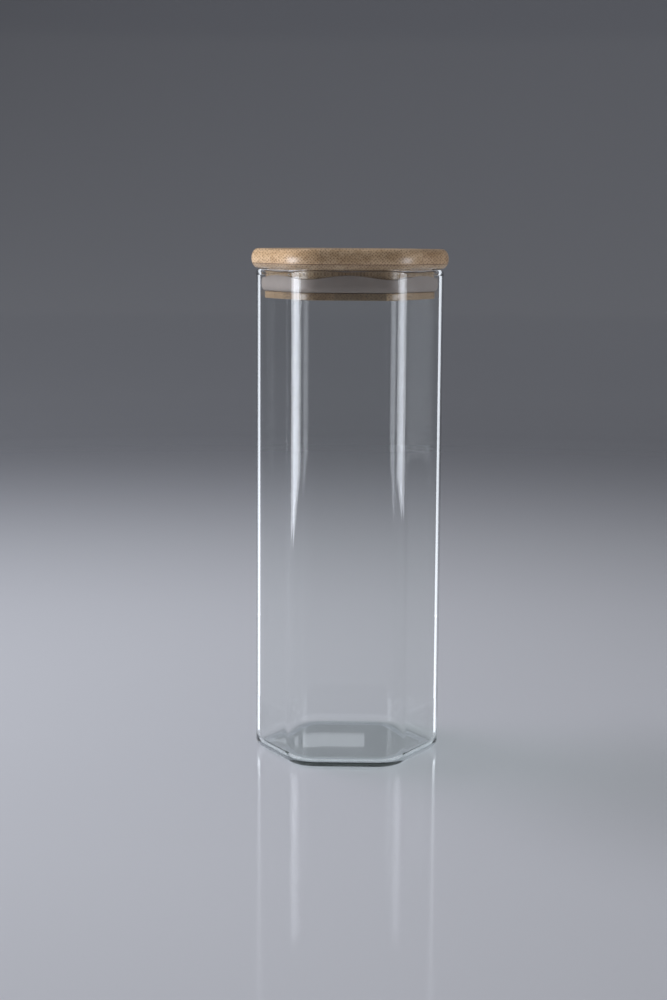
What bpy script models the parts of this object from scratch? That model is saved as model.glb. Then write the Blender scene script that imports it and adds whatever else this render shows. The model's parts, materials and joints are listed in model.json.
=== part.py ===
"""A tall hexagonal glass jar with a laminated bamboo lid and a silicone seal.

Metres, +Z up. The origin is under the middle of the base, on the surface that the jar stands on.
One flat side faces -Y, and two of the six rounded corners point along +X and -X.
"""
import math

import bmesh
import bpy

# Glass: driving dimensions
JAR_REACH = 0.0380
CORNER_RADIUS = 0.0145
JAR_HEIGHT = 0.1988
WALL = 0.0019
BASE_THICKNESS = 0.0022
FOOT_RADIUS = 0.0038
INNER_FOOT_RADIUS = 0.0030
STANDING_RING = 0.0045
PUSH_UP = 0.0010
PUSH_UP_SLOPE = 0.0030
BEAD_HEIGHT = 0.0027
BEAD_BULGE = 0.00045

# Bamboo lid: driving dimensions
LID_OVERHANG = 0.0019
PLATE_THICKNESS = 0.0079
PLATE_EDGE_RADIUS = 0.0027
FLANGE_THICKNESS = 0.0027
FLANGE_EDGE_RADIUS = 0.0003
GROOVE_HEIGHT = 0.0051
GROOVE_DEPTH = 0.0018
LAND_SETBACK = 0.00025
BARE_LAND = 0.0020

# Bamboo strips: driving dimensions
TOP_PLY = 0.0059
MIDDLE_PLY = 0.0081

# Glue joints between the strips of each ply, from left to right, as shares of the ply's reach.
# The board is glued up from strips about 20 mm wide, and the joints of one ply miss those of the next.
TOP_JOINT_SHARES = (-0.786, -0.282, 0.217, 0.719)
MIDDLE_JOINT_SHARES = (-0.524, -0.025, 0.474)
BOTTOM_JOINT_SHARES = (-0.764, -0.165, 0.438)

# Silicone seal: driving dimensions
LIP_AT_FLATS = 0.0022
LIP_AT_CORNERS = 0.0003
SEAL_TUCK = 0.0012
SEAL_TUCK_HEIGHT = 0.0020
SEAL_EDGE_RADIUS = 0.0003

# Clearances
SEAT_GAP = 0.0003
GLUE_LINE = 0.0003
SEAL_GAP = 0.0003
SEAL_TO_BEAD = 0.00085
PLUG_TO_BEAD = 0.0023
OVERRUN = 0.0010

# Shares that limit a rounding by the wall that carries it, and the weld of a traced outline
ROUNDING_SHARE = 0.45
TUCK_SHARE = 0.7
SHARPEST_CORNER_SHARE = 0.1
WELD_SHARE = 0.1

# Counts and angles
SIDES = 6
SIDE_ANGLE = 2 * math.pi / SIDES
CORNER_STEPS = 6
FILLET_STEPS = 5
EDGE_STEPS = 4
LIP_STEPS = 2
SEAL_SIDE_STEPS = 4
SMOOTH_ANGLE = math.radians(32)
FLAT_ANGLE = math.radians(1)
EDGE_ANGLE = math.radians(60)

# Surface colours, linear, and how far one bamboo strip's shade strays from the next
GLASS_COLOUR = (0.90, 0.95, 0.93)
BAMBOO_COLOUR = (0.62, 0.42, 0.24)
SILICONE_COLOUR = (0.72, 0.68, 0.64)
SHADE_SWING = 0.08
SHADE_TURN = 2.4

# Sizes that follow from the driving dimensions
HALF_FLATS = (JAR_REACH - CORNER_RADIUS) * math.cos(SIDE_ANGLE / 2) + CORNER_RADIUS
MOUTH_INSET = WALL + BEAD_BULGE
FLANGE_INSET = MOUTH_INSET + PLUG_TO_BEAD
LAND_INSET = FLANGE_INSET + LAND_SETBACK
GROOVE_INSET = LAND_INSET + GROOVE_DEPTH
SEAL_INSET = MOUTH_INSET + SEAL_TO_BEAD
PLATE_BOTTOM = JAR_HEIGHT + SEAT_GAP
PLATE_TOP = PLATE_BOTTOM + PLATE_THICKNESS
GROOVE_TOP = PLATE_BOTTOM - BARE_LAND - LIP_AT_FLATS
FLANGE_TOP = GROOVE_TOP - GROOVE_HEIGHT
PLUG_BOTTOM = FLANGE_TOP - FLANGE_THICKNESS
TOP_SEAM = PLATE_TOP - TOP_PLY
MIDDLE_SEAM = TOP_SEAM - MIDDLE_PLY


def material(name, colour, roughness, transmission=0.0):
    """A plain surface: linear colour, roughness and how much light it lets through."""
    surface = bpy.data.materials.new(name)
    surface.use_nodes = True
    shader = surface.node_tree.nodes["Principled BSDF"]
    shader.inputs["Base Color"].default_value = (*colour, 1.0)
    shader.inputs["Roughness"].default_value = roughness
    shader.inputs["Metallic"].default_value = 0.0
    shader.inputs["Transmission Weight"].default_value = transmission
    surface.diffuse_color = (*colour, 1.0)
    return surface


def outline(inset, side_steps=1):
    """The jar's rounded hexagon seen from above, with its sides moved in by inset.

    The corners stay concentric. Each straight side is divided into side_steps.
    """
    half_flats = HALF_FLATS - inset
    radius = max(CORNER_RADIUS - inset, SHARPEST_CORNER_SHARE * half_flats)
    corner_distance = (half_flats - radius) / math.cos(SIDE_ANGLE / 2)
    arcs = []
    for corner in range(SIDES):
        middle = corner * SIDE_ANGLE
        arc = []
        for step in range(CORNER_STEPS + 1):
            angle = middle + SIDE_ANGLE * (step / CORNER_STEPS - 0.5)
            x = corner_distance * math.cos(middle) + radius * math.cos(angle)
            y = corner_distance * math.sin(middle) + radius * math.sin(angle)
            arc.append((x, y))
        arcs.append(arc)
    points = []
    for arc, following in zip(arcs, arcs[1:] + arcs[:1]):
        points += arc
        start, end = arc[-1], following[0]
        for step in range(1, side_steps):
            share = step / side_steps
            points.append(tuple(a + (b - a) * share for a, b in zip(start, end)))
    return points


def quarter_turn(start, end, steps, sideways_first):
    """Points of a quarter of an ellipse from start to end, each an (inset, height) pair."""
    points = []
    for step in range(steps + 1):
        turn = step / steps * math.pi / 2
        late, early = 1 - math.cos(turn), math.sin(turn)
        along, up = (early, late) if sideways_first else (late, early)
        points.append((start[0] + (end[0] - start[0]) * along, start[1] + (end[1] - start[1]) * up))
    return points


def add_object(name, mesh, surface, collection):
    """A smooth-shaded object, with creases where its faces meet at an angle."""
    if surface is not None:
        mesh.materials.clear()
        mesh.materials.append(surface)
    mesh.shade_smooth()
    mesh.set_sharp_from_angle(angle=SMOOTH_ANGLE)
    solid = bpy.data.objects.new(name, mesh)
    collection.objects.link(solid)
    return solid


def evaluated_mesh(source):
    """The mesh of an object with its curve settings or modifiers worked out."""
    bpy.context.view_layer.update()
    depsgraph = bpy.context.evaluated_depsgraph_get()
    mesh = bpy.data.meshes.new_from_object(source.evaluated_get(depsgraph))
    return mesh


def lofted_rings(name, levels, height_at=None, closed=False):
    """A loft through rings of the outline, one for each (inset, height) level, faces pointing out.

    Levels run up the outside and down the inside. height_at gives a point's own height from its
    level's height and its angle round the jar. A closed loft joins its last ring to its first. An open
    one is capped at both ends.
    """
    side_steps = SEAL_SIDE_STEPS if closed else 1
    form = bmesh.new()
    rings = []
    for inset, height in levels:
        ring = []
        for x, y in outline(inset, side_steps):
            point_height = height_at(height, math.atan2(y, x)) if height_at else height
            ring.append(form.verts.new((x, y, point_height)))
        rings.append(ring)
    following = rings[1:] + rings[:1] if closed else rings[1:]
    for ring, next_ring in zip(rings, following):
        sides = zip(ring, ring[1:] + ring[:1], next_ring[1:] + next_ring[:1], next_ring)
        for side in sides:
            form.faces.new(side)
    if not closed:
        form.faces.new(reversed(rings[0]))
        form.faces.new(rings[-1])
    mesh = bpy.data.meshes.new(name)
    form.to_mesh(mesh)
    form.free()
    return mesh


def slab(name, inset, bottom, top, edge_radius, collection):
    """The outline as a slab between two heights, with its upper and lower edges rounded."""
    flat = bpy.data.curves.new(name, "CURVE")
    flat.dimensions = "2D"
    flat.fill_mode = "BOTH"
    flat.extrude = (top - bottom) / 2
    points = outline(inset)
    spline = flat.splines.new("POLY")
    spline.points.add(len(points) - 1)
    for point, (x, y) in zip(spline.points, points):
        point.co = (x, y, 0, 1)
    spline.use_cyclic_u = True
    drawing = bpy.data.objects.new(name + "_outline", flat)
    drawing.location.z = (top + bottom) / 2
    collection.objects.link(drawing)
    mesh = evaluated_mesh(drawing)
    form = bmesh.new()
    form.from_mesh(mesh)
    bmesh.ops.remove_doubles(form, verts=form.verts, dist=WELD_SHARE * GLUE_LINE)
    bmesh.ops.dissolve_limit(form, angle_limit=FLAT_ANGLE, verts=form.verts, edges=form.edges)
    form.to_mesh(mesh)
    form.free()
    body = add_object(name, mesh, None, collection)
    body.matrix_world = drawing.matrix_world
    bpy.data.objects.remove(drawing)
    if edge_radius > 0:
        rounding = body.modifiers.new("edges", "BEVEL")
        rounding.limit_method = "ANGLE"
        rounding.angle_limit = EDGE_ANGLE
        rounding.width = min(edge_radius, ROUNDING_SHARE * (top - bottom))
        rounding.segments = EDGE_STEPS
    return body


def hide_as_cutter(body):
    body.hide_render = True
    body.display_type = "WIRE"


def glass_levels():
    """The glass from the middle of its underside, up the outside, over the rim and down the inside."""
    ring_inset = FOOT_RADIUS + STANDING_RING
    dome_inset = ring_inset + PUSH_UP_SLOPE
    rim_radius = min(MOUTH_INSET / 2, ROUNDING_SHARE * BEAD_HEIGHT)
    shoulder = JAR_HEIGHT - rim_radius
    bead_bottom = JAR_HEIGHT - BEAD_HEIGHT
    levels = [(dome_inset, PUSH_UP), (ring_inset, 0)]
    levels += quarter_turn((FOOT_RADIUS, 0), (0, FOOT_RADIUS), FILLET_STEPS, True)
    levels += quarter_turn((0, shoulder), (MOUTH_INSET / 2, JAR_HEIGHT), EDGE_STEPS, False)
    levels += quarter_turn((MOUTH_INSET / 2, JAR_HEIGHT), (MOUTH_INSET, shoulder), EDGE_STEPS, True)[1:]
    for step in range(1, EDGE_STEPS + 1):
        turn = step / EDGE_STEPS * math.pi
        ease = (1 + math.cos(turn)) / 2
        height = shoulder + (bead_bottom - shoulder) * step / EDGE_STEPS
        levels.append((WALL + BEAD_BULGE * ease, height))
    inside = (WALL, BASE_THICKNESS + INNER_FOOT_RADIUS)
    levels += quarter_turn(inside, (WALL + INNER_FOOT_RADIUS, BASE_THICKNESS), FILLET_STEPS, False)
    levels.append((ring_inset, BASE_THICKNESS))
    levels.append((dome_inset, BASE_THICKNESS + PUSH_UP))
    return levels


def make_glass(collection):
    clear = material("clear_glass", GLASS_COLOUR, 0.03, transmission=1.0)
    return add_object("glass_jar", lofted_rings("glass_jar", glass_levels()), clear, collection)


def make_lid_blank(collection):
    """The whole lid as it is milled: plate, land above the seal, grooved neck and flange."""
    plate = slab("lid_blank", -LID_OVERHANG, PLATE_BOTTOM, PLATE_TOP, PLATE_EDGE_RADIUS, collection)
    neck_top = PLATE_BOTTOM + ROUNDING_SHARE * PLATE_THICKNESS
    neck_bottom = FLANGE_TOP - ROUNDING_SHARE * FLANGE_THICKNESS
    steps = [
        slab("lid_land", LAND_INSET, GROOVE_TOP, neck_top, 0, collection),
        slab("lid_neck", GROOVE_INSET, neck_bottom, neck_top, 0, collection),
        slab("lid_flange", FLANGE_INSET, PLUG_BOTTOM, FLANGE_TOP, FLANGE_EDGE_RADIUS, collection),
    ]
    hide_as_cutter(plate)
    for step in steps:
        join = plate.modifiers.new(step.name, "BOOLEAN")
        join.operation = "UNION"
        join.object = step
        hide_as_cutter(step)
    return plate


def make_ply(name, shade, joint_shares, inset, bottom, top, blank, collection):
    """One ply of bamboo strips that run along Y, each cut to the shape of the lid."""
    reach = JAR_REACH - inset
    end = reach + OVERRUN
    sides = [-end] + [share * reach for share in joint_shares] + [end]
    strips = []
    for number, (left, right) in enumerate(zip(sides, sides[1:]), start=1):
        left += GLUE_LINE / 2
        right -= GLUE_LINE / 2
        bpy.ops.mesh.primitive_cube_add(size=1)
        stick = bpy.context.object
        stick.scale = (right - left, 2 * end, top - bottom)
        stick.location = ((left + right) / 2, 0, (top + bottom) / 2)
        cut = stick.modifiers.new("lid_shape", "BOOLEAN")
        cut.operation = "INTERSECT"
        cut.object = blank
        mesh = evaluated_mesh(stick)
        mesh.transform(stick.matrix_world)
        bpy.data.objects.remove(stick)
        strip_shade = shade * (1 + SHADE_SWING * math.sin(SHADE_TURN * number))
        colour = tuple(channel * strip_shade for channel in BAMBOO_COLOUR)
        bamboo = material(f"{name}_{number}_bamboo", colour, 0.5)
        strips.append(add_object(f"{name}_{number}", mesh, bamboo, collection))
    return strips


def make_seal(collection):
    """The silicone ring: a rib in the plug's groove and a thin lip that lies on the land above it."""
    lip = LAND_INSET - SEAL_GAP - SEAL_INSET
    rib = GROOVE_INSET - SEAL_GAP
    bottom = FLANGE_TOP + SEAL_GAP
    rib_top = GROOVE_TOP - SEAL_GAP
    crest = GROOVE_TOP + LIP_AT_FLATS
    dip = LIP_AT_FLATS - LIP_AT_CORNERS
    edge = min(SEAL_EDGE_RADIUS, ROUNDING_SHARE * lip)
    tuck_height = min(SEAL_TUCK_HEIGHT, TUCK_SHARE * (rib_top - bottom))
    tuck_inset = SEAL_INSET + min(SEAL_TUCK, TUCK_SHARE * (rib - SEAL_INSET))
    levels = [(rib, bottom)]
    levels += quarter_turn((tuck_inset, bottom), (SEAL_INSET, bottom + tuck_height), EDGE_STEPS, True)
    levels += quarter_turn((SEAL_INSET, crest - edge), (SEAL_INSET + edge, crest), LIP_STEPS, False)
    levels += [(SEAL_INSET + lip, crest), (SEAL_INSET + lip, rib_top), (rib, rib_top)]

    def wavy(height, angle):
        """The lip's edge is full height at the flats and dips at the six corners."""
        if height <= rib_top:
            return height
        return height - dip * (1 + math.cos(SIDES * angle)) / 2

    milky = material("milky_silicone", SILICONE_COLOUR, 0.45)
    mesh = lofted_rings("seal_ring", levels, height_at=wavy, closed=True)
    return add_object("seal_ring", mesh, milky, collection)


def main():
    for old in list(bpy.data.objects):
        bpy.data.objects.remove(old)
    jar = bpy.data.collections.new("hexagonal_glass_jar")
    cutters = bpy.data.collections.new("cutters")
    bpy.context.scene.collection.children.link(jar)
    bpy.context.scene.collection.children.link(cutters)

    make_glass(jar)
    blank = make_lid_blank(cutters)
    lid = make_ply("top_strip", 1.0, TOP_JOINT_SHARES, -LID_OVERHANG,
                   TOP_SEAM + GLUE_LINE / 2, PLATE_TOP + OVERRUN, blank, jar)
    lid += make_ply("middle_strip", 0.82, MIDDLE_JOINT_SHARES, -LID_OVERHANG,
                    MIDDLE_SEAM + GLUE_LINE / 2, TOP_SEAM - GLUE_LINE / 2, blank, jar)
    lid += make_ply("bottom_strip", 0.9, BOTTOM_JOINT_SHARES, FLANGE_INSET,
                    PLUG_BOTTOM - OVERRUN, MIDDLE_SEAM - GLUE_LINE / 2, blank, jar)
    lid.append(make_seal(jar))

    lift = bpy.data.objects.new("lid_lift", None)
    lift.location.z = JAR_HEIGHT
    jar.objects.link(lift)
    bpy.context.view_layer.update()
    for piece in lid:
        piece.parent = lift
        piece.matrix_parent_inverse = lift.matrix_world.inverted()


main()
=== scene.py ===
"""A tall hexagonal glass jar with a laminated bamboo lid and a milky silicone seal, on a pale studio floor.

Metres, +Z up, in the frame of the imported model: one flat side of the jar faces -Y.
"""
import json
import math
import random
from functools import partial

import bmesh
import bpy
from mathutils import Matrix, Vector

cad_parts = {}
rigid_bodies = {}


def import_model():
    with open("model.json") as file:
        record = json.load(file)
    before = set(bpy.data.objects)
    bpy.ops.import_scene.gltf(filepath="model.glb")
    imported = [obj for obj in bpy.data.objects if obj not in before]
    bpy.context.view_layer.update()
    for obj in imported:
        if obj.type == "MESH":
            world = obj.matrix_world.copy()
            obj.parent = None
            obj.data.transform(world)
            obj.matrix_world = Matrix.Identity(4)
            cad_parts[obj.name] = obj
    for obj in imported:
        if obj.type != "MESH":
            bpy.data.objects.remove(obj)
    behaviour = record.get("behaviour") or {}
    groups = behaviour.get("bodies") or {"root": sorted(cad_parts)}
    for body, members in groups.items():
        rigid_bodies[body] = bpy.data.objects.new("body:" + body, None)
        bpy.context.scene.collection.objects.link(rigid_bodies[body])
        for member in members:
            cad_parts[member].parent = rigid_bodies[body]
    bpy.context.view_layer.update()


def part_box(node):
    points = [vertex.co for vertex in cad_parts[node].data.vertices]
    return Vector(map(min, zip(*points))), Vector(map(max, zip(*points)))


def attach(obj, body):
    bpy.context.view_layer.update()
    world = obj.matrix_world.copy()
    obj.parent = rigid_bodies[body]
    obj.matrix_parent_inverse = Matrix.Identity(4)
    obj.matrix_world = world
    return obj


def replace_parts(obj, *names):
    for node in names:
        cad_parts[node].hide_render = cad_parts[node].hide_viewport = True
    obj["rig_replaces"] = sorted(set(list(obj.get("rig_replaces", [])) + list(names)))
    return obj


bl_info = {
    "name": "Hexagonal Glass Jar",
    "version": (1, 0, 0),
    "blender": (4, 5, 0),
    "location": "View3D > Sidebar > Glass Jar",
    "description": "Blows a hexagonal glass jar and fits it with a bamboo lid and a silicone seal",
    "category": "Add Mesh",
}

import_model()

MM = 0.001
SIDES = 6
HALF_SIDE_ANGLE = math.pi / SIDES

JAR_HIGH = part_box("glass_jar")[1]
SEAL_LOW, SEAL_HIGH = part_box("seal_ring")
PLY_NODES = {
    "top": ["top_strip_1", "top_strip_2", "top_strip_3", "top_strip_4", "top_strip_5"],
    "middle": ["middle_strip_1", "middle_strip_2", "middle_strip_3", "middle_strip_4"],
    "bottom": ["bottom_strip_1", "bottom_strip_2", "bottom_strip_3", "bottom_strip_4"],
}


def ply_box(ply):
    """Lowest and highest corner of all the strips of a ply."""
    boxes = [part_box(node) for node in PLY_NODES[ply]]
    low = Vector([min(box[0][axis] for box in boxes) for axis in range(3)])
    high = Vector([max(box[1][axis] for box in boxes) for axis in range(3)])
    return low, high


TOP_LOW, TOP_HIGH = ply_box("top")
MIDDLE_LOW, MIDDLE_HIGH = ply_box("middle")
BOTTOM_LOW, BOTTOM_HIGH = ply_box("bottom")
TOP_SEAM = (TOP_LOW.z + MIDDLE_HIGH.z) / 2
MIDDLE_SEAM = (MIDDLE_LOW.z + BOTTOM_HIGH.z) / 2

# Each ply's seam below and above it, and how light its strips are, from -X to +X. Part of this is each
# strip's own tone and part is painted shade and light: the middle and bottom plies, which face down or sit
# under the plate, are darkened as painted shade, the strips along the front are darker as painted shade, and
# the side strips of the lower plies are lighter as painted light where the side lamps fall.
PLIES = {
    "top": (TOP_SEAM, None, (1.06, 1.0, 0.88, 0.95, 0.78)),
    "middle": (MIDDLE_SEAM, TOP_SEAM, (0.76, 0.68, 0.64, 0.75)),
    "bottom": (None, MIDDLE_SEAM, (0.62, 0.47, 0.42, 0.75)),
}
# Where a ring of the cane crosses a strip, along Y
CANE_RINGS = {
    "top_strip_2": 14 * MM,
    "top_strip_4": -19 * MM,
    "middle_strip_3": 8 * MM,
    "bottom_strip_2": 21 * MM,
}

# Gaps between the pieces
SEAT_GAP = 0.3 * MM  # Between the rim and the lid's plate
FLANGE_GAP = 0.15 * MM  # Between the seal and the flange under it
GROOVE_GAP = 0.3 * MM  # Between the seal's back and the wood
HALF_GLUE_LINE = 0.01 * MM  # Half of what lies between two strips

# How closely the shapes are drawn, and how near two points are merged
CORNER_STEPS = 24
ROUNDING_STEPS = 12
FINE_STEP = 1.0 * MM
WALL_STEP = 3.0 * MM
WELD = 0.001 * MM
CUT_WELD = 0.0001 * MM

# The blown wall's waves: how long they are, how far they are drawn out along Z, how far away the inner face's
# are taken from, where they grow above the foot and how they fade below the rim
WAVE_LENGTH = 22 * MM
WAVE_STRETCH = (1.0, 1.0, 0.15)
INNER_WAVE_SHIFT = 0.37
WAVES_GROW_FROM, WAVES_GROW_TO = 3 * MM, 14 * MM
WAVES_FADE_OVER, WAVES_END_BELOW_RIM = 8 * MM, 4 * MM

# The sweep's inputs for a piece whose walls neither wander nor dip
STILL = {"Unevenness": 0.0, "Uneven Below": 0.0, "Wave Dip": 0.0, "Wave Above": 1.0, "Wave Top": 2.0}

# Node settings that are used often
SMOOTH = {"interpolation_type": "SMOOTHSTEP"}
COLOURS = {"data_type": "RGBA"}

# The studio's floor: how far it lies flat, the radius of its bend and how high its upturned rim reaches
FLOOR_FLAT, FLOOR_BEND, FLOOR_RIM = 1.2, 0.5, 1.4
FLOOR_STEPS, FLOOR_TURNS = 12, 96

SOFTBOX_COLOUR = (0.93, 0.97, 1.06)
# The softboxes beside the jar: place along X and Y, width, how bright they are for the lid and for the glass,
# and where their light starts at their left and right edges, as shares of their height
SIDE_BOXES = {
    "key_strip": (-0.46, -0.105, 0.25, 9.3, 6.6, (0.0, 0.208)),
    "fill_strip": (0.47, -0.08, 0.22, 5.8, 4.7, (0.195, 0.078)),
}
SIDE_BOX_BOTTOM, SIDE_BOX_HEIGHT = 5 * MM, 0.25
SIDE_BOX_EDGE = 0.03  # How softly their light starts, as a share of their height
SIDE_BOX_FAR_SHARE = 0.4  # How much of them the far walls mirror

# The boxes behind the jar's two side corners, which draw its bright outlines: their distance and height. What
# the glass sees near its foot passes close over the floor, so nearer and lower boxes take over there.
OUTLINE_BOXES = {"high": (0.26, 0.4), "low": (0.08, 0.039), "foot": (0.02, 0.0155)}
OUTLINE_TURN, OUTLINE_OPENING = math.radians(37), math.radians(26)
OUTLINE_GLOW = 0.9

CAMERA_PLACE = (0.0095, -0.7409, 0.2121)
CAMERA_TURNS = (("Z", 1.206), ("X", 81.715), ("Z", 0.344))
CAMERA_LENS, CAMERA_SENSOR = 65.32, 36


def corner_radius(reach, half_flats):
    """Radius of a rounded hexagon's corners, from its reach at a corner and half its width over the flats."""
    lean = math.cos(HALF_SIDE_ANGLE)
    return (half_flats - reach * lean) / (1 - lean)


def linear(hex_colour):
    """An sRGB hex colour as linear red, green, blue and alpha."""
    channels = [int(hex_colour[i:i + 2], 16) / 255 for i in (0, 2, 4)]
    return tuple(c / 12.92 if c <= 0.04045 else ((c + 0.055) / 1.055) ** 2.4 for c in channels) + (1.0,)


class JarGlassSettings(bpy.types.PropertyGroup):
    reach: bpy.props.FloatProperty(
        name="Reach", description="From the jar's axis to the tip of a rounded corner",
        default=JAR_HIGH.x, unit="LENGTH", precision=5)
    half_flats: bpy.props.FloatProperty(
        name="Half Flats", description="From the jar's axis to a flat side",
        default=JAR_HIGH.y, unit="LENGTH", precision=5)
    height: bpy.props.FloatProperty(
        name="Height", description="From the foot to the rim",
        default=JAR_HIGH.z, unit="LENGTH", precision=5)
    wall: bpy.props.FloatProperty(
        name="Wall", description="Thickness of the blown wall",
        default=1.9 * MM, unit="LENGTH", precision=5)
    base: bpy.props.FloatProperty(
        name="Base", description="Thickness of the base", default=2.2 * MM, unit="LENGTH", precision=5)
    foot_radius: bpy.props.FloatProperty(
        name="Foot Radius", description="Rounding between the walls and the underside",
        default=3.8 * MM, unit="LENGTH", precision=5)
    inner_foot_radius: bpy.props.FloatProperty(
        name="Inner Foot Radius", description="Rounding between the inner walls and the inner floor",
        default=3.0 * MM, unit="LENGTH", precision=5)
    push_up: bpy.props.FloatProperty(
        name="Push-up", description="Rise of the base towards its middle", default=0.02 * MM,
        unit="LENGTH", precision=5)
    bead_height: bpy.props.FloatProperty(
        name="Bead Height", description="Height of the thickened rim", default=2.7 * MM,
        unit="LENGTH", precision=5)
    bead_bulge: bpy.props.FloatProperty(
        name="Bead Bulge", description="How far the bead stands inside the wall",
        default=0.37 * MM, unit="LENGTH", precision=5)
    unevenness: bpy.props.FloatProperty(
        name="Unevenness", description="How far the blown wall wanders", default=0.03 * MM,
        unit="LENGTH", precision=5)
    tint: bpy.props.FloatVectorProperty(
        name="Tint", description="Colour of a deep piece of the glass", subtype="COLOR",
        size=4, min=0, max=1, default=linear("E6F4EC"))


class BambooLidSettings(bpy.types.PropertyGroup):
    edge_depth: bpy.props.FloatProperty(
        name="Edge Depth", description="How far in the rounding of the plate's edges reaches",
        default=2.7 * MM, unit="LENGTH", precision=5)
    edge_rise: bpy.props.FloatProperty(
        name="Edge Rise", description="How high the rounding of the plate's edges reaches",
        default=3.8 * MM, unit="LENGTH", precision=5)
    groove_depth: bpy.props.FloatProperty(
        name="Groove Depth", description="Depth of the seal's groove behind the land",
        default=1.8 * MM, unit="LENGTH", precision=5)
    land_setback: bpy.props.FloatProperty(
        name="Land Setback", description="How far the land above the seal stands behind the flange",
        default=0.25 * MM, unit="LENGTH", precision=5)
    # Real bundles are about 0.5 mm apart, which is too fine to show in the render, so they are drawn coarser
    bundle_pitch: bpy.props.FloatProperty(
        name="Fibre Bundle Pitch", description="Distance between the bamboo's fibre bundles",
        default=0.95 * MM, unit="LENGTH", precision=5)
    light_wood: bpy.props.FloatVectorProperty(
        name="Soft Tissue", description="Colour of the bamboo between its fibre bundles",
        subtype="COLOR", size=4, min=0, max=1, default=linear("E0BF98"))
    dark_wood: bpy.props.FloatVectorProperty(
        name="Fibre Bundles", description="Colour of the fibre bundles",
        subtype="COLOR", size=4, min=0, max=1, default=linear("7E5A38"))
    glue: bpy.props.FloatVectorProperty(
        name="Glue Lines", description="Colour of the seams between the plies and of the cane's rings",
        subtype="COLOR", size=4, min=0, max=1, default=linear("6E4A2B"))


class SiliconeSealSettings(bpy.types.PropertyGroup):
    lip_at_flats: bpy.props.FloatProperty(
        name="Lip at Flats", description="Height of the lip above the groove along the flat sides",
        default=2.2 * MM, unit="LENGTH", precision=5)
    lip_at_corners: bpy.props.FloatProperty(
        name="Lip at Corners", description="Height of the lip above the groove at the corners",
        default=0.3 * MM, unit="LENGTH", precision=5)
    colour: bpy.props.FloatVectorProperty(
        name="Colour", description="Milky silicone", subtype="COLOR", size=4, min=0, max=1,
        default=linear("A3968F"))


class StudioSettings(bpy.types.PropertyGroup):
    # The floor's colour fades from this pale to the backdrop's grey with distance from the jar, which is a
    # painted falloff of light
    floor: bpy.props.FloatVectorProperty(
        name="Floor", description="Colour of the floor near the jar", subtype="COLOR",
        size=4, min=0, max=1, default=linear("E4E4E8"))
    backdrop: bpy.props.FloatVectorProperty(
        name="Backdrop", description="Colour of the floor's upturned rim", subtype="COLOR",
        size=4, min=0, max=1, default=linear("9A9BA0"))
    sky: bpy.props.FloatProperty(
        name="Sky", description="Brightness of the soft light from above", default=0.3, min=0)


def add_node(tree, kind, inputs=(), **settings):
    """Adds a node with its settings, sets or links its inputs, and gives its outputs.

    Inputs are a dict by the sockets' names or numbers, or a tuple in order. A socket among them is linked.
    """
    added = tree.nodes.new(kind)
    for name, value in settings.items():
        setattr(added, name, value)
    for name, value in inputs.items() if isinstance(inputs, dict) else enumerate(inputs):
        if isinstance(value, bpy.types.NodeSocket):
            tree.links.new(value, added.inputs[name])
        else:
            added.inputs[name].default_value = value
    return added.outputs


def new_material(name):
    """An empty node material, and add_node for its tree."""
    surface = bpy.data.materials.new(name)
    surface.use_nodes = True
    surface.node_tree.nodes.clear()
    return surface, partial(add_node, surface.node_tree)


def quarter_turn(start, end, steps, sideways_first):
    """Points of a quarter of an ellipse from start to end, each an (inset, height) pair."""
    points = []
    for step in range(steps + 1):
        turn = step / steps * math.pi / 2
        late, early = 1 - math.cos(turn), math.sin(turn)
        along, up = (early, late) if sideways_first else (late, early)
        points.append((start[0] + (end[0] - start[0]) * along, start[1] + (end[1] - start[1]) * up))
    return points


def straight_run(start, end, longest):
    """Points between start and end, without these two, so that no step is longer than asked."""
    steps = max(1, math.ceil(math.dist(start, end) / longest))
    return [(start[0] + (end[0] - start[0]) * step / steps, start[1] + (end[1] - start[1]) * step / steps)
            for step in range(1, steps)]


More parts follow.
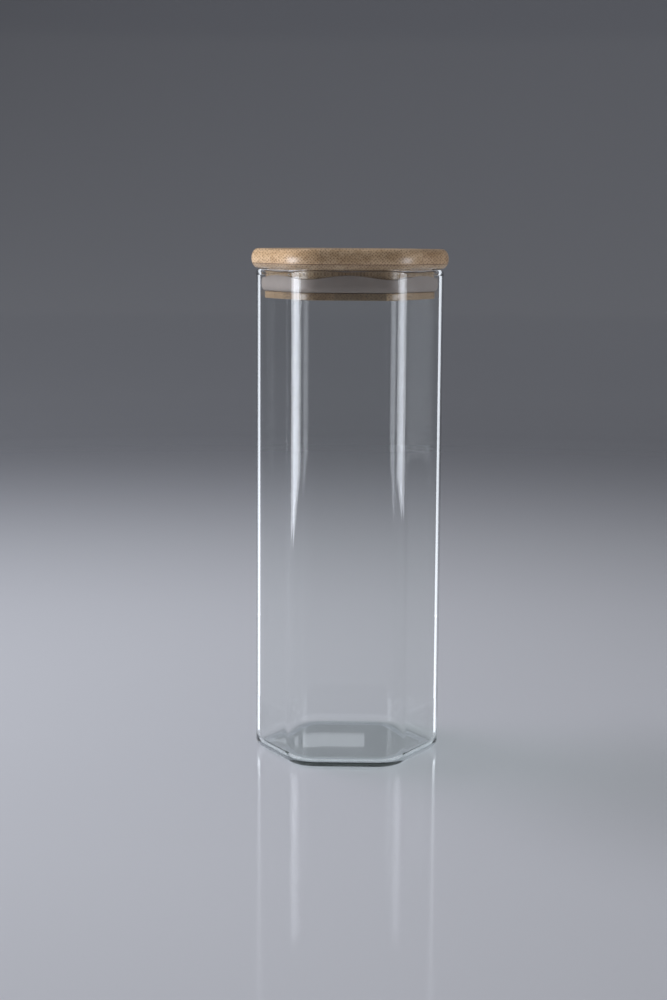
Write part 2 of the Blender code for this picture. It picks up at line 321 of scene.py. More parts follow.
def hexagon_sweep_tree(name):
    """Geometry Nodes that sweep the drawn section round a rounded hexagon."""
    tree = bpy.data.node_groups.new(name, "GeometryNodeTree")
    kinds = {"Section": "NodeSocketGeometry", "Surface": "NodeSocketMaterial"}
    for label in ("Section", "Reach", "Corner Radius", "Step", "Unevenness", "Uneven Below", "Wave Dip",
                  "Wave Above", "Wave Top", "Surface"):
        tree.interface.new_socket(label, in_out="INPUT", socket_type=kinds.get(label, "NodeSocketFloat"))
    tree.interface.new_socket("Mesh", in_out="OUTPUT", socket_type="NodeSocketGeometry")
    add = partial(add_node, tree)
    given = add("NodeGroupInput")

    # The sharp hexagon's corner stands further out than the rounded one's tip
    sharper = 1 / math.cos(HALF_SIDE_ANGLE) - 1
    spare = add("ShaderNodeMath", (given["Corner Radius"], sharper), operation="MULTIPLY")[0]
    radius = add("ShaderNodeMath", (given["Reach"], spare), operation="ADD")[0]
    circle = add("GeometryNodeCurvePrimitiveCircle",
                 {"Resolution": SIDES, "Radius": radius}, mode="RADIUS")[0]
    fillet = add("GeometryNodeFilletCurve",
                 {"Curve": circle, "Count": CORNER_STEPS, "Radius": given["Corner Radius"]}, mode="POLY")[0]
    even = add("GeometryNodeResampleCurve", {"Curve": fillet, "Length": given["Step"]}, mode="LENGTH")[0]
    sweep = add("GeometryNodeCurveToMesh", {"Curve": even, "Profile Curve": given["Section"]})[0]

    # A blown wall wanders in long upright waves, and its inner face not with its outer one
    place = add("GeometryNodeInputPosition")[0]
    normal = add("GeometryNodeInputNormal")[0]
    facing = add("ShaderNodeVectorMath", (place, normal), operation="DOT_PRODUCT")["Value"]
    inner = add("ShaderNodeMath", (facing, 0.0), operation="LESS_THAN")[0]
    shift = add("ShaderNodeMath", (inner, INNER_WAVE_SHIFT), operation="MULTIPLY")[0]
    aside = add("ShaderNodeCombineXYZ", {"X": shift})[0]
    drawn_out = add("ShaderNodeVectorMath", (place, WAVE_STRETCH), operation="MULTIPLY")[0]
    shifted = add("ShaderNodeVectorMath", (drawn_out, aside), operation="ADD")[0]
    waves = add("ShaderNodeTexNoise", {"Vector": shifted, "Scale": 1 / WAVE_LENGTH, "Detail": 1.5})[0]

    # The waves fade out towards the foot and the rim
    height = add("ShaderNodeSeparateXYZ", (place,))
    above_foot = add("ShaderNodeMapRange", {"Value": height["Z"], "From Min": WAVES_GROW_FROM,
                                            "From Max": WAVES_GROW_TO}, **SMOOTH)[0]
    to_end = add("ShaderNodeMath", (given["Uneven Below"], height["Z"]), operation="SUBTRACT")[0]
    below_rim = add("ShaderNodeMapRange", {"Value": to_end, "From Max": WAVES_FADE_OVER}, **SMOOTH)[0]
    between = add("ShaderNodeMath", (above_foot, below_rim), operation="MULTIPLY")[0]
    push = add("ShaderNodeMath", (waves, 0.5), operation="SUBTRACT")[0]
    for factor in (between, given["Unevenness"], 2.0):
        push = add("ShaderNodeMath", (push, factor), operation="MULTIPLY")[0]
    wander = add("ShaderNodeVectorMath", {0: normal, "Scale": push}, operation="SCALE")[0]

    # A stretched lip dips at the six corners
    angle = add("ShaderNodeMath", (height["Y"], height["X"]), operation="ARCTAN2")[0]
    turned = add("ShaderNodeMath", (angle, float(SIDES)), operation="MULTIPLY")[0]
    swell = add("ShaderNodeMath", (turned,), operation="COSINE")[0]
    dip = add("ShaderNodeMath", (swell, 1.0), operation="ADD")[0]
    share = add("ShaderNodeMapRange", {"Value": height["Z"], "From Min": given["Wave Above"],
                                       "From Max": given["Wave Top"]})[0]
    for factor in (-0.5, given["Wave Dip"], share):
        dip = add("ShaderNodeMath", (dip, factor), operation="MULTIPLY")[0]
    fall = add("ShaderNodeCombineXYZ", {"Z": dip})[0]

    offset = add("ShaderNodeVectorMath", (wander, fall), operation="ADD")[0]
    moved = add("GeometryNodeSetPosition", {"Geometry": sweep, "Offset": offset})[0]
    smooth = add("GeometryNodeSetShadeSmooth", {"Geometry": moved})[0]
    real = add("GeometryNodeRealizeInstances", {"Geometry": smooth})[0]
    clad = add("GeometryNodeSetMaterial", {"Geometry": real, "Material": given["Surface"]})[0]
    add("NodeGroupOutput", (clad,))
    return tree


def sweep_round_hexagon(name, levels, closed, glass, values):
    """A plain mesh swept round the jar's hexagon from levels, which are (inset, height) pairs.

    The levels run up the outside first. Values are the sweep's inputs where they differ from STILL.
    """
    hexagon = {"Reach": glass.reach, "Corner Radius": corner_radius(glass.reach, glass.half_flats)}
    values = STILL | hexagon | values
    drawing = bpy.data.curves.new(name + "_section", "CURVE")
    drawing.dimensions = "2D"
    line = drawing.splines.new("POLY")
    line.points.add(len(levels) - 1)
    for point, (inset, height) in zip(line.points, reversed(levels)):
        point.co = (-inset, -height, 0, 1)
    line.use_cyclic_u = closed
    holder = bpy.data.objects.new(name + "_section", drawing)
    bpy.context.scene.collection.objects.link(holder)
    tree_name = "rounded_hexagon_sweep"
    tree = bpy.data.node_groups.get(tree_name) or hexagon_sweep_tree(tree_name)
    sweep = holder.modifiers.new("sweep", "NODES")
    sweep.node_group = tree
    for item in tree.interface.items_tree:
        if item.item_type == "SOCKET" and item.in_out == "INPUT" and item.name in values:
            sweep[item.identifier] = values[item.name]
    bpy.context.view_layer.update()
    mesh = bpy.data.meshes.new_from_object(holder.evaluated_get(bpy.context.evaluated_depsgraph_get()))
    holder.modifiers.remove(sweep)
    bpy.data.objects.remove(holder)
    if not mesh.polygons:
        raise RuntimeError(f"the sweep of {name} came out empty")
    return mesh


def turn_outwards(form, name):
    """Points a closed form's faces outwards, and stops the script where the form isn't closed."""
    bmesh.ops.recalc_face_normals(form, faces=form.faces)
    if any(not edge.is_manifold for edge in form.edges):
        raise RuntimeError(f"{name} isn't closed")


def close_ends(mesh, rise=0.0, steps=1):
    """Closes a swept shell's openings with rings that shrink to the axis and rise as a shallow dome."""
    form = bmesh.new()
    form.from_mesh(mesh)
    bmesh.ops.remove_doubles(form, verts=form.verts, dist=WELD)
    before, lifted = 1.0, 0.0
    for step in range(1, steps):
        share = 1 - (step - 0.5) / (steps - 0.5)
        lift = rise * (1 + math.cos(share * math.pi)) / 2
        open_edges = [edge for edge in form.edges if edge.is_boundary]
        rim = bmesh.ops.extrude_edge_only(form, edges=open_edges)["geom"]
        verts = [part for part in rim if isinstance(part, bmesh.types.BMVert)]
        mean = sum(vert.co.xy.length for vert in verts) / len(verts)
        for vert in verts:
            # The rings turn from hexagons to circles on their way in
            reach = vert.co.xy.length
            rounder = (mean + (reach - mean) * share ** 0.5) / reach * share / before
            vert.co = (vert.co.x * rounder, vert.co.y * rounder, vert.co.z + lift - lifted)
        before, lifted = share, lift
    open_edges = [edge for edge in form.edges if edge.is_boundary]
    bmesh.ops.holes_fill(form, edges=open_edges, sides=0)
    turn_outwards(form, mesh.name)
    form.to_mesh(mesh)
    form.free()


def add_piece(name, mesh, body, slot, *nodes):
    """Links a finished mesh as a piece that rides on a body and stands for its CAD nodes."""
    mesh.name = name
    mesh.shade_smooth()
    piece = bpy.data.objects.new(name, mesh)
    bpy.context.scene.collection.objects.link(piece)
    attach(piece, body)
    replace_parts(piece, *nodes)
    return piece


def borosilicate_glass_fire_polished(tint):
    """Clear borosilicate, blown and fire polished: mirror smooth, nearly colourless, grey-green in depth."""
    surface, add = new_material("borosilicate_glass_fire_polished")
    glass = add("ShaderNodeBsdfPrincipled", {
        "Base Color": (1.0, 1.0, 1.0, 1.0), "Roughness": 0.0, "IOR": 1.473, "Transmission Weight": 1.0})[0]
    # Light passes straight through for the shadow, which stays pale
    clear = add("ShaderNodeBsdfTransparent", {"Color": (0.95, 0.96, 0.955, 1.0)})[0]
    mix = add("ShaderNodeMixShader", (add("ShaderNodeLightPath")["Is Shadow Ray"], glass, clear))[0]
    depth = add("ShaderNodeVolumeAbsorption", {"Color": tuple(tint), "Density": 30.0})[0]
    add("ShaderNodeOutputMaterial", {"Surface": mix, "Volume": depth})
    return surface


def silicone_moulded_milky(colour):
    """Platinum silicone, moulded: milky and waxy, light soaks in a millimetre or two, a soft broad sheen."""
    surface, add = new_material("silicone_moulded_milky")
    place = add("ShaderNodeTexCoord")["Object"]
    cloud = add("ShaderNodeTexNoise", {"Vector": place, "Scale": 1 / (6 * MM), "Detail": 3.0})[0]
    tone = add("ShaderNodeMapRange",
               {"Value": cloud, "From Min": 0.3, "From Max": 0.7, "To Min": 0.92, "To Max": 1.04})[0]
    shade = add("ShaderNodeMix", {0: 1.0, 6: tuple(colour), 7: tone}, blend_type="MULTIPLY", **COLOURS)[2]
    # The mould's matt texture is about 0.1 mm across and is drawn coarser, so that it shows in the render
    skin = add("ShaderNodeTexNoise", {"Vector": place, "Scale": 1 / (0.35 * MM), "Detail": 2.0})[0]
    gloss = add("ShaderNodeMapRange",
                {"Value": skin, "From Min": 0.3, "From Max": 0.7, "To Min": 0.4, "To Max": 0.52})[0]
    bump = add("ShaderNodeBump", {"Strength": 0.25, "Distance": 0.02 * MM, "Height": skin})[0]
    shader = add("ShaderNodeBsdfPrincipled", {
        "Base Color": shade, "Roughness": gloss, "IOR": 1.41, "Subsurface Weight": 0.35,
        "Subsurface Radius": (1.0, 0.85, 0.75), "Subsurface Scale": 2 * MM, "Normal": bump})[0]
    add("ShaderNodeOutputMaterial", {"Surface": shader})
    return surface


def grain_patches(add, grain, size, detail, shift=0.0):
    """Cloudy patches of the bamboo, as long along X, Y and Z as size says in millimetres."""
    scale = tuple(1 / (length * MM) for length in size)
    stretched = add("ShaderNodeMapping", {"Vector": grain, "Scale": scale, "Location": (shift,) * 3})[0]
    return add("ShaderNodeTexNoise", {"Vector": stretched, "Scale": 1.0, "Detail": detail})[0]


def carbonised_bamboo_sanded_oiled(name, settings, tone, seed, seams, ring_at):
    """Carbonised bamboo, sawn along the grain, sanded and oiled: satin. Its fibre bundles run along Y, so
    they are dots on the end grain, dashes where a side cuts them aslant and long streaks on top.

    Seams are the heights of the strip's glue lines. Ring_at is the y place of a ring of the cane, or None.
    """
    surface, add = new_material(name)
    soft, dark, glue_colour = tuple(settings.light_wood), tuple(settings.dark_wood), tuple(settings.glue)

    # Each strip is cut from another place of the cane, and not quite along it
    chance = random.Random(seed)
    place = add("ShaderNodeTexCoord")["Object"]
    drift = tuple(chance.uniform(0.2, 0.9) for _ in range(3))
    tilt, swing = math.radians(chance.uniform(-2.5, 2.5)), math.radians(chance.uniform(-1.2, 1.2))
    grain = add("ShaderNodeMapping", {"Vector": place, "Location": drift, "Rotation": (tilt, 0, swing)})[0]

    # The bundles wander a little along the strip
    bend = add("ShaderNodeMapping", {"Vector": grain, "Scale": (60.0, 25.0, 60.0)})[0]
    sway = add("ShaderNodeTexNoise", {"Vector": bend, "Scale": 1.0, "Detail": 0.0})[1]
    either_way = add("ShaderNodeVectorMath", (sway, (0.5, 0.5, 0.5)), operation="SUBTRACT")[0]
    wander = add("ShaderNodeVectorMath", {0: either_way, "Scale": 1.2 * MM}, operation="SCALE")[0]
    wandering = add("ShaderNodeVectorMath", (grain, wander), operation="ADD")[0]

    # They stand in staggered rows, thick and thin, and some of them are paler
    parts = add("ShaderNodeSeparateXYZ", (wandering,))
    across = add("ShaderNodeCombineXYZ", {"X": parts["X"], "Y": parts["Z"]})[0]
    staggered = add("ShaderNodeMapping", {"Vector": across, "Rotation": (0, 0, math.radians(45))})[0]
    cells = add("ShaderNodeTexVoronoi",
                {"Vector": staggered, "Scale": 1 / settings.bundle_pitch, "Randomness": 0.4},
                voronoi_dimensions="2D")
    chances = add("ShaderNodeSeparateColor", (cells["Color"],))
    width = add("ShaderNodeMapRange", {"Value": chances[0], "To Min": 0.3, "To Max": 0.46}, **SMOOTH)[0]
    reach = add("ShaderNodeMath", (cells["Distance"], width), operation="DIVIDE")[0]
    dots = add("ShaderNodeMapRange", {"Value": reach, "From Min": 0.45, "From Max": 1.15,
                                      "To Min": 1.0, "To Max": 0.0}, **SMOOTH)[0]
    depth = add("ShaderNodeMapRange", {"Value": chances[1], "From Max": 0.6, "To Min": 0.6}, **SMOOTH)[0]
    bundle = add("ShaderNodeMath", (dots, depth), operation="MULTIPLY")[0]

    # Broad bands of lighter and darker tissue, then the bundles, then fine streaks along the grain
    streak = grain_patches(add, grain, (0.25, 30, 0.25), detail=3.0)
    band = grain_patches(add, grain, (3.5, 90, 2.5), detail=2.0, shift=3.1)
    deeper = tuple(c * s for c, s in zip(soft, (0.8, 0.76, 0.7, 1.0)))
    banded = add("ShaderNodeMapRange", {"Value": band, "From Min": 0.3, "From Max": 0.7}, **SMOOTH)[0]
    colour = add("ShaderNodeMix", {0: banded, 6: soft, 7: deeper}, **COLOURS)[2]
    dotted = add("ShaderNodeMath", (bundle, 0.7), operation="MULTIPLY")[0]
    colour = add("ShaderNodeMix", {0: dotted, 6: colour, 7: dark}, **COLOURS)[2]
    streaked = add("ShaderNodeMapRange",
                   {"Value": streak, "From Min": 0.35, "From Max": 0.75, "To Max": 0.3}, **SMOOTH)[0]
    colour = add("ShaderNodeMix", {0: streaked, 6: colour, 7: dark}, **COLOURS)[2]

    # A ring of the cane crosses the strip as a dark wavy line with a pale halo
    own = add("ShaderNodeSeparateXYZ", (place,))
    if ring_at is not None:
        wobble = grain_patches(add, grain, (5, 40, 5), detail=2.0, shift=7.7)
        wavy = add("ShaderNodeMath", (wobble, 3 * MM, own["Y"]), operation="MULTIPLY_ADD")[0]
        level = add("ShaderNodeMath", (wavy, ring_at + 1.5 * MM), operation="SUBTRACT")[0]
        away = add("ShaderNodeMath", (level,), operation="ABSOLUTE")[0]
        for full, gone, strength, paint in ((0.8, 4.0, 0.25, soft), (0.2, 0.9, 0.55, glue_colour)):
            line = add("ShaderNodeMapRange", {"Value": away, "From Min": full * MM, "From Max": gone * MM,
                                              "To Min": strength, "To Max": 0.0}, **SMOOTH)[0]
            colour = add("ShaderNodeMix", {0: line, 6: colour, 7: paint}, **COLOURS)[2]

    # The seams between the plies are dark glue lines
    glue = 0.0
    for seam in seams:
        level = add("ShaderNodeMath", (own["Z"], seam), operation="SUBTRACT")[0]
        away = add("ShaderNodeMath", (level,), operation="ABSOLUTE")[0]
        line = add("ShaderNodeMapRange", {"Value": away, "From Min": 0.05 * MM, "From Max": 0.2 * MM,
                                          "To Min": 0.8, "To Max": 0.0}, **SMOOTH)[0]
        glue = add("ShaderNodeMath", (glue, line), operation="MAXIMUM")[0]
    colour = add("ShaderNodeMix", {0: glue, 6: colour, 7: glue_colour}, **COLOURS)[2]
    # The tone darkens or lightens the whole strip: it is partly the strip's own tone, and partly painted
    # shade and light from PLIES
    colour_with_painted_shading = add("ShaderNodeMix", {0: 1.0, 6: colour, 7: (*tone, 1.0)}, blend_type="MULTIPLY", **COLOURS)[2]

    # The bundles are glossier than the tissue, and sanding leaves them and the glue a little lower
    dull = add("ShaderNodeMath", (bundle, -0.3, streak), operation="MULTIPLY_ADD")[0]
    rough = add("ShaderNodeMapRange", {"Value": dull, "From Min": 0.1, "From Max": 0.9,
                                       "To Min": 0.34, "To Max": 0.46}, **SMOOTH)[0]
    relief = add("ShaderNodeMath", (streak, 0.6), operation="MULTIPLY")[0]
    for sunk, level in ((glue, -0.8), (bundle, -0.6)):
        relief = add("ShaderNodeMath", (sunk, level, relief), operation="MULTIPLY_ADD")[0]
    bump = add("ShaderNodeBump", {"Strength": 0.6, "Distance": 0.04 * MM, "Height": relief})[0]
    shader = add("ShaderNodeBsdfPrincipled", {
        "Base Color": colour_with_painted_shading, "Roughness": rough, "IOR": 1.48, "Normal": bump,
        "Coat Weight": 0.35, "Coat Roughness": 0.3, "Coat IOR": 1.5})[0]
    add("ShaderNodeOutputMaterial", {"Surface": shader})
    return surface


class MakeGlassJar(bpy.types.Operator):
    """Blow the hexagonal glass body"""

    bl_idname = "glass_jar.make_glass"
    bl_label = "Glass Body"

    def execute(self, context):
        glass = context.scene.jar_glass
        wall, base, foot = glass.wall, glass.base, glass.foot_radius
        mouth = wall + glass.bead_bulge
        shoulder = glass.height - mouth / 2
        bead_bottom = glass.height - glass.bead_height
        inner_foot = wall + glass.inner_foot_radius
        swept_base = 8.3 * MM  # How much of the base is swept, before close_ends fills the rest
        bead_steps = 8

        # Up the outside and over the rim
        levels = [(swept_base, 0)]
        levels += straight_run((swept_base, 0), (foot, 0), FINE_STEP)
        levels += quarter_turn((foot, 0), (0, foot), ROUNDING_STEPS, True)
        levels += straight_run((0, foot), (0, shoulder), WALL_STEP)
        levels += quarter_turn((0, shoulder), (mouth / 2, glass.height), bead_steps, False)
        levels += quarter_turn((mouth / 2, glass.height), (mouth, shoulder), bead_steps, True)[1:]

        # Down the bead and the inside to the inner floor
        for step in range(1, bead_steps + 1):
            share = step / bead_steps
            ease = (1 + math.cos(share * math.pi)) / 2
            levels.append((wall + glass.bead_bulge * ease, shoulder + (bead_bottom - shoulder) * share))
        levels += straight_run((wall, bead_bottom), (wall, base + glass.inner_foot_radius), WALL_STEP)
        levels += quarter_turn((wall, base + glass.inner_foot_radius), (inner_foot, base), ROUNDING_STEPS,
                               False)
        levels += straight_run((inner_foot, base), (swept_base, base), FINE_STEP)
        levels.append((swept_base, base))

        mesh = sweep_round_hexagon("glass_body", levels, False, glass, {
            "Step": FINE_STEP, "Unevenness": glass.unevenness,
            "Uneven Below": glass.height - WAVES_END_BELOW_RIM,
            "Surface": borosilicate_glass_fire_polished(glass.tint)})
        close_ends(mesh, rise=glass.push_up, steps=14)
        add_piece("glass_body", mesh, "jar", "clear_glass", "glass_jar")
        return {"FINISHED"}


def cut_strip(blank, left, right, bottom, top):
    """The part of the milled blank between two joints and two seams, each None where the strip has none.

    The strip stops half a glue line short of them, and its sawn faces are closed.
    """
    form = blank.copy()
    for place, direction in ((left, (-1, 0, 0)), (right, (1, 0, 0)), (bottom, (0, 0, -1)), (top, (0, 0, 1))):
        if place is None:
            continue
        point = Vector([abs(way) * place - way * HALF_GLUE_LINE for way in direction])
        cut = bmesh.ops.bisect_plane(form, geom=form.verts[:] + form.edges[:] + form.faces[:], dist=CUT_WELD,
                                     plane_co=point, plane_no=direction, clear_outer=True)
        edges = [edge for edge in cut["geom_cut"] if isinstance(edge, bmesh.types.BMEdge)]
        bmesh.ops.triangle_fill(form, edges=edges, use_beauty=True, normal=direction)
    bmesh.ops.remove_doubles(form, verts=form.verts, dist=CUT_WELD)
    turn_outwards(form, "a bamboo strip")
    return form


class MakeBambooLid(bpy.types.Operator):
    """Mill the laminated bamboo lid from its thirteen strips"""

    bl_idname = "glass_jar.make_lid"
    bl_label = "Bamboo Lid"

    def execute(self, context):
        lid = context.scene.bamboo_lid
        glass = context.scene.jar_glass
        overhang = TOP_HIGH.x - glass.reach
        plate_bottom, plate_top = JAR_HIGH.z + SEAT_GAP, TOP_HIGH.z
        flange = glass.reach - BOTTOM_HIGH.x
        flange_bottom, flange_top = BOTTOM_LOW.z, SEAL_LOW.z - FLANGE_GAP
        land = flange + lid.land_setback
        groove = land + lid.groove_depth
        groove_top = SEAL_HIGH.z - context.scene.silicone_seal.lip_at_flats
        edge, rise, eased = lid.edge_depth, lid.edge_rise, 0.3 * MM

        # Up the flange, the groove and the land, and round the plate's two edges
        levels = quarter_turn((flange + eased, flange_bottom), (flange, flange_bottom + eased), 4, True)
        levels += quarter_turn((flange, flange_top - eased), (flange + eased, flange_top), 4, False)
        levels += [(groove, flange_top), (groove, groove_top), (land, groove_top), (land, plate_bottom)]
        rounding, tip = edge - overhang, -overhang
        levels += quarter_turn((rounding, plate_bottom), (tip, plate_bottom + rise), ROUNDING_STEPS, True)
        levels += quarter_turn((tip, plate_top - rise), (rounding, plate_top), ROUNDING_STEPS, False)
        levels.append((rounding + FINE_STEP, plate_top))
        mesh = sweep_round_hexagon("lid_blank", levels, False, glass, {"Step": FINE_STEP})
        close_ends(mesh)

        blank = bmesh.new()
        blank.from_mesh(mesh)
        for ply, (bottom, top, strip_tones_with_painted_shading) in PLIES.items():
            nodes = PLY_NODES[ply]
            boxes = [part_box(node) for node in nodes]
            joints = [(low[1].x + high[0].x) / 2 for low, high in zip(boxes, boxes[1:])]
            sides = [None] + joints + [None]
            seams = [seam for seam in (bottom, top) if seam is not None]
            # Each strip's tone holds painted shade and light as well as the strip's own tone
            for node, left, right, tone in zip(nodes, sides, sides[1:], strip_tones_with_painted_shading):
                form = cut_strip(blank, left, right, bottom, top)
                strip = bpy.data.meshes.new(node)
                form.to_mesh(strip)
                form.free()
                warmth = random.Random(node).uniform(-0.03, 0.03)
                strip.materials.append(carbonised_bamboo_sanded_oiled(
                    f"carbonised_bamboo_sanded_oiled_{node}", lid,
                    (tone * (1 + warmth), tone, tone * (1 - warmth)), node, seams, CANE_RINGS.get(node)))
                add_piece(f"bamboo_{node}", strip, "lid", f"bamboo_{ply}_ply", node)
                strip.set_sharp_from_angle(angle=math.radians(34))
        blank.free()
        bpy.data.meshes.remove(mesh)
        return {"FINISHED"}


class MakeSiliconeSeal(bpy.types.Operator):
    """Mould the silicone ring that sits in the lid's groove"""

    bl_idname = "glass_jar.make_seal"
    bl_label = "Silicone Seal"

    def execute(self, context):
        seal = context.scene.silicone_seal
        glass = context.scene.jar_glass
        lid = context.scene.bamboo_lid
        bottom, crest = SEAL_LOW.z, SEAL_HIGH.z
        outer = glass.reach - SEAL_HIGH.x
        land = glass.reach - BOTTOM_HIGH.x + lid.land_setback
        lip_back = land - GROOVE_GAP
        rib = land + lid.groove_depth - GROOVE_GAP
        rib_top = crest - seal.lip_at_flats - GROOVE_GAP
        tuck_in, tuck_up, edge = 1.4 * MM, 2.6 * MM, 0.35 * MM

        # Round the lower edge, up the outside, over the lip and down behind it to the rib in the groove
        levels = [(rib, bottom)]
        levels += quarter_turn((outer + tuck_in, bottom), (outer, bottom + tuck_up), 10, True)
        levels += straight_run((outer, bottom + tuck_up), (outer, crest - edge), 0.5 * MM)
        levels += quarter_turn((outer, crest - edge), (outer + edge, crest), 6, False)
        levels += [(lip_back, crest), (lip_back, rib_top), (rib, rib_top)]
        mesh = sweep_round_hexagon("seal", levels, True, glass, {
            "Step": 0.8 * MM, "Wave Dip": seal.lip_at_flats - seal.lip_at_corners, "Wave Above": rib_top,
            "Wave Top": crest, "Surface": silicone_moulded_milky(seal.colour)})
        add_piece("silicone_seal", mesh, "lid", "milky_silicone", "seal_ring")
        mesh.set_sharp_from_angle(angle=math.radians(50))
        return {"FINISHED"}


def collect(name, things):
    """A collection of the things that a lamp lights alone."""
    lit = bpy.data.collections.new(name)
    for thing in things:
        lit.objects.link(thing)
    return lit


def add_softbox(name, place, target, width, height, glow, pieces,
                low_at=None, far_share=None, face_share=1.0):
    """A rectangular softbox that lights some pieces. A glow of 1 is as bright as white.

    Low_at is for one that is cut off aslant: where its light starts at its left and right edges, as shares of
    its height. Far_share is for one that shows only where the glass mirrors it, not straight through the
    glass: how much of it the far walls mirror. Face_share is then how much of it the outer face mirrors.
    """
    light = bpy.data.lights.new(name, "AREA")
    light.shape = "RECTANGLE"
    light.size, light.size_y = width, height
    light.energy = glow * math.pi * width * height
    light.color = SOFTBOX_COLOUR
    light.use_nodes = True
    add = partial(add_node, light.node_tree)
    factors = []
    if far_share is not None:
        path = add("ShaderNodeLightPath")
        for depth, limit, before, after in (("Glossy Depth", 0.5, 0.0, 1.0),
                                            ("Transmission Depth", 3.5, 1.0, far_share),
                                            ("Transmission Depth", 0.5, face_share, 1.0)):
            past = add("ShaderNodeMath", (path[depth], limit), operation="GREATER_THAN")[0]
            factors.append(add("ShaderNodeMapRange", {"Value": past, "To Min": before, "To Max": after})[0])
    if low_at is not None:
        across = add("ShaderNodeSeparateXYZ", (add("ShaderNodeNewGeometry")["Parametric"],))
        bottom = add("ShaderNodeMapRange",
                     {"Value": across["X"], "To Min": low_at[0], "To Max": low_at[1]})[0]
        above = add("ShaderNodeMath", (across["Y"], bottom), operation="SUBTRACT")[0]
        factors.append(add("ShaderNodeMapRange", {"Value": above, "From Max": SIDE_BOX_EDGE}, **SMOOTH)[0])
    strength = 1.0
    for factor in factors:
        strength = add("ShaderNodeMath", (strength, factor), operation="MULTIPLY")[0]
    if factors:
        light.node_tree.links.new(strength, light.node_tree.nodes["Emission"].inputs["Strength"])
    lamp = bpy.data.objects.new(name, light)
    bpy.context.scene.collection.objects.link(lamp)
    lamp.location = place
    lamp.rotation_euler = (Vector(target) - Vector(place)).to_track_quat("-Z", "Y").to_euler()
    lamp.visible_camera = False
    lamp.light_linking.receiver_collection = pieces
    return lamp


def studio_board_lacquered(floor, backdrop):
    """Studio board, sprayed with clear lacquer: pale near the jar, and it mirrors the jar faintly. Its colour
    fades to the backdrop's darker grey further out, which is a painted falloff of light round the jar.
    """
    surface, add = new_material("studio_board_lacquered")
    place = add("ShaderNodeTexCoord")["Object"]
    reach = add("ShaderNodeVectorMath", (place,), operation="LENGTH")["Value"]
    # Painted falloff of light: the colour fades from the floor's pale near the jar to the backdrop's grey
    # about a metre out
    away = add("ShaderNodeMapRange", {"Value": reach, "From Min": 0.15, "From Max": 1.1}, **SMOOTH)[0]
    colour = add("ShaderNodeMix", {0: away, 6: tuple(floor), 7: tuple(backdrop)}, **COLOURS)[2]
    shader = add("ShaderNodeBsdfPrincipled", {"Base Color": colour, "Roughness": 0.08, "IOR": 1.4})[0]
    add("ShaderNodeOutputMaterial", {"Surface": shader})
    return surface


def lay_floor(studio):
    """A round floor whose rim turns up all round it."""
    section = [(FLOOR_FLAT * step / FLOOR_STEPS, 0.0) for step in range(1, FLOOR_STEPS + 1)]
    section += quarter_turn((FLOOR_FLAT, 0.0), (FLOOR_FLAT + FLOOR_BEND, FLOOR_BEND), FLOOR_STEPS, True)[1:]
    section.append((FLOOR_FLAT + FLOOR_BEND, FLOOR_RIM))
    angles = [2 * math.pi * turn / FLOOR_TURNS for turn in range(FLOOR_TURNS)]
    form = bmesh.new()
    rings = [[form.verts.new((reach * math.cos(angle), reach * math.sin(angle), height)) for angle in angles]
             for reach, height in section]
    form.faces.new(rings[0])
    for ring, outer in zip(rings, rings[1:]):
        for turn in range(FLOOR_TURNS):
            after = (turn + 1) % FLOOR_TURNS
            form.faces.new((ring[turn], outer[turn], outer[after], ring[after]))
    mesh = bpy.data.meshes.new("studio_floor")
    form.to_mesh(mesh)
    form.free()
    mesh.shade_smooth()
    mesh.materials.append(studio_board_lacquered(studio.floor, studio.backdrop))
    floor = bpy.data.objects.new("studio_floor", mesh)
    bpy.context.scene.collection.objects.link(floor)
    return floor


def hang_softboxes(corner, floor):
    """The softboxes. Those that the glass mirrors light it alone. Corner is the jar's reach along X."""
    glass = collect("lit_glass", [bpy.data.objects["glass_body"]])
    lid = collect("lit_lid", [thing for thing in bpy.context.scene.objects
                              if "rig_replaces" in thing and thing.name != "glass_body"])
    middle = SIDE_BOX_BOTTOM + SIDE_BOX_HEIGHT / 2
    for name, (along_x, along_y, width, lid_glow, glass_glow, low_at) in SIDE_BOXES.items():
        place, target = (along_x, along_y, middle), (0, 0, middle)
        add_softbox(name + "_for_lid", place, target, width, SIDE_BOX_HEIGHT, lid_glow, lid, low_at)
        add_softbox(name + "_for_glass", place, target, width, SIDE_BOX_HEIGHT, glass_glow, glass, low_at,
                    SIDE_BOX_FAR_SHARE)

    # A large box high up on the left, a little behind the jar, gives the lid and the floor light and shadow
    below = collect("lit_below", list(lid.objects) + [floor])
    high = add_softbox("high_box", place=(-0.8, 0.3, 0.9), target=(0, 0, 0), width=0.8, height=0.8, glow=5.5,
                       pieces=below)
    high.visible_glossy = False

    for side, name in ((-1, "left_rim"), (1, "right_rim")):
        for part, (away, height) in OUTLINE_BOXES.items():
            across, back = away * math.sin(OUTLINE_TURN), away * math.cos(OUTLINE_TURN)
            width = 2 * away * math.tan(OUTLINE_OPENING / 2)
            add_softbox(f"{name}_{part}", (side * (corner + across), back, height / 2),
                        (side * corner, 0, height / 2), width, height, OUTLINE_GLOW, glass,
                        far_share=0.0, face_share=0.0)

    # A low strip far behind the jar is mirrored by its base
    add_softbox("low_strip", place=(-0.063, 1.0, 0.285), target=(-0.006, 0, 0.002), width=0.134, height=0.018,
                glow=0.4, pieces=glass, far_share=1.0)


def light_sky(brightness):
    """A plain white world."""
    world = bpy.data.worlds.new("studio_sky")
    world.use_nodes = True
    background = world.node_tree.nodes["Background"].inputs
    background[0].default_value = (1, 1, 1, 1)
    background[1].default_value = brightness
    bpy.context.scene.world = world


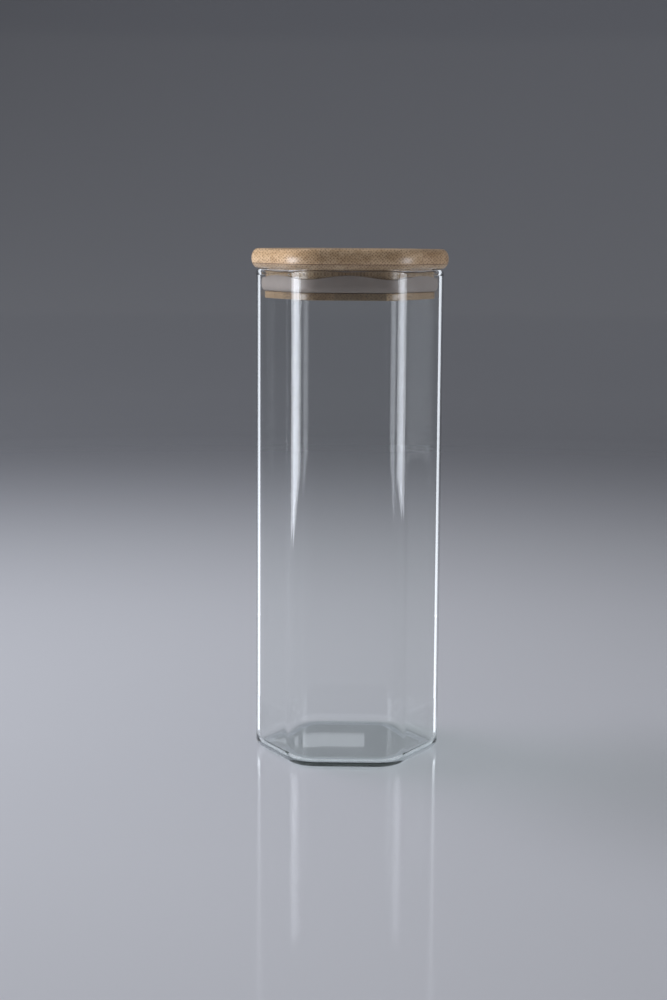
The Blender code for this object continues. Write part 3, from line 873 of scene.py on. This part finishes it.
def place_camera():
    """The camera whose picture meets the jar's outline and its two known sizes."""
    lens = bpy.data.cameras.new("camera")
    lens.lens, lens.sensor_width = CAMERA_LENS, CAMERA_SENSOR
    lens.clip_start, lens.clip_end = 0.01, 20
    camera = bpy.data.objects.new("camera", lens)
    bpy.context.scene.collection.objects.link(camera)
    stand = Matrix.Translation(CAMERA_PLACE)
    for axis, degrees in CAMERA_TURNS:
        stand = stand @ Matrix.Rotation(math.radians(degrees), 4, axis)
    camera.matrix_world = stand
    bpy.context.scene.camera = camera


class MakeStudio(bpy.types.Operator):
    """Set up the pale floor, the soft lamps and the camera"""

    bl_idname = "glass_jar.make_studio"
    bl_label = "Studio"

    def execute(self, context):
        studio = context.scene.studio
        floor = lay_floor(studio)
        hang_softboxes(context.scene.jar_glass.reach, floor)
        light_sky(studio.sky)
        place_camera()
        context.scene.view_settings.view_transform = "Standard"
        return {"FINISHED"}


class GlassJarPanel(bpy.types.Panel):
    """The jar's makers and their settings, in the sidebar"""

    bl_idname = "VIEW3D_PT_glass_jar"
    bl_label = "Glass Jar"
    bl_space_type = "VIEW_3D"
    bl_region_type = "UI"
    bl_category = "Glass Jar"

    def draw(self, context):
        for operator, settings in MAKERS:
            box = self.layout.box()
            group = getattr(context.scene, settings)
            for name in group.bl_rna.properties.keys():
                if name not in ("rna_type", "name"):
                    box.prop(group, name)
            box.operator(operator.bl_idname)


MAKERS = (
    (MakeGlassJar, "jar_glass"),
    (MakeBambooLid, "bamboo_lid"),
    (MakeSiliconeSeal, "silicone_seal"),
    (MakeStudio, "studio"),
)
SETTINGS = {
    "jar_glass": JarGlassSettings,
    "bamboo_lid": BambooLidSettings,
    "silicone_seal": SiliconeSealSettings,
    "studio": StudioSettings,
}
CLASSES = (*SETTINGS.values(), *(operator for operator, _ in MAKERS), GlassJarPanel)


def register():
    for cls in CLASSES:
        bpy.utils.register_class(cls)
    for name, group in SETTINGS.items():
        setattr(bpy.types.Scene, name, bpy.props.PointerProperty(type=group))


def unregister():
    for name in SETTINGS:
        delattr(bpy.types.Scene, name)
    for cls in reversed(CLASSES):
        bpy.utils.unregister_class(cls)


def main():
    register()
    bpy.ops.glass_jar.make_glass()
    bpy.ops.glass_jar.make_lid()
    bpy.ops.glass_jar.make_seal()
    bpy.ops.glass_jar.make_studio()


if __name__ == "__main__":
    main()
